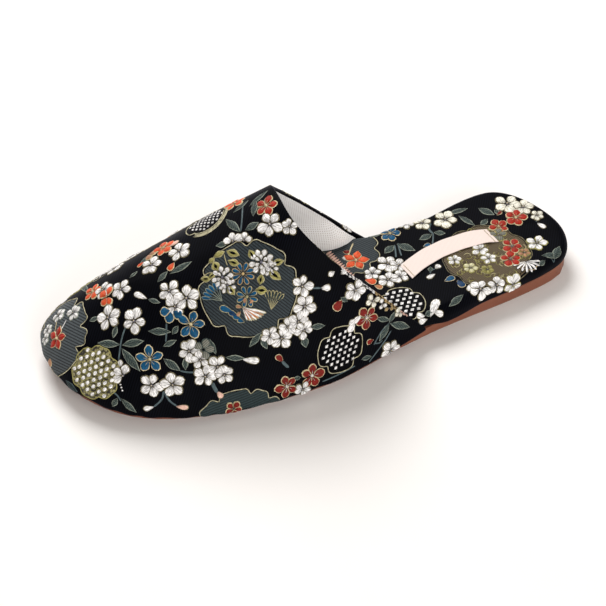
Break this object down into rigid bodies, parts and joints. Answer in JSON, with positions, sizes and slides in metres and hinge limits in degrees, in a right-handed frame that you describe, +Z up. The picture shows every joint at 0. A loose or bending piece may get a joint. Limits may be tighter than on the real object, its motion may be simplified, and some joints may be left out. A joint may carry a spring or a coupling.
{
  "type": "embroidered slipper",
  "caption": "Left open-back, closed-toe slipper: hollow brocade vamp over a padded footbed on a thin rubber sole with a low heel.",
  "frame": {"origin": "on the ground, under the centre of the bounding box's footprint", "axes": "+X towards the toe, +Y towards the outer (lateral) side of the left foot, +Z up"},
  "size_m": [0.2559, 0.0975, 0.081],
  "materials": {
    "sole_rubber": "matt brown moulded rubber",
    "bed_brocade": "black satin brocade, padded",
    "vamp_brocade": "black satin brocade with woven flowers, mesh lining",
    "motif_silk": "woven silk floats in white, gold, red, blue and grey-green",
    "lining_mesh": "pale fine-grid mesh",
    "label_tape": "plain cream woven tape"
  },
  "bodies": {
    "root": {"outsole": "sole_rubber", "footbed": "bed_brocade", "upper": "vamp_brocade"}
  },
  "joints": []
}
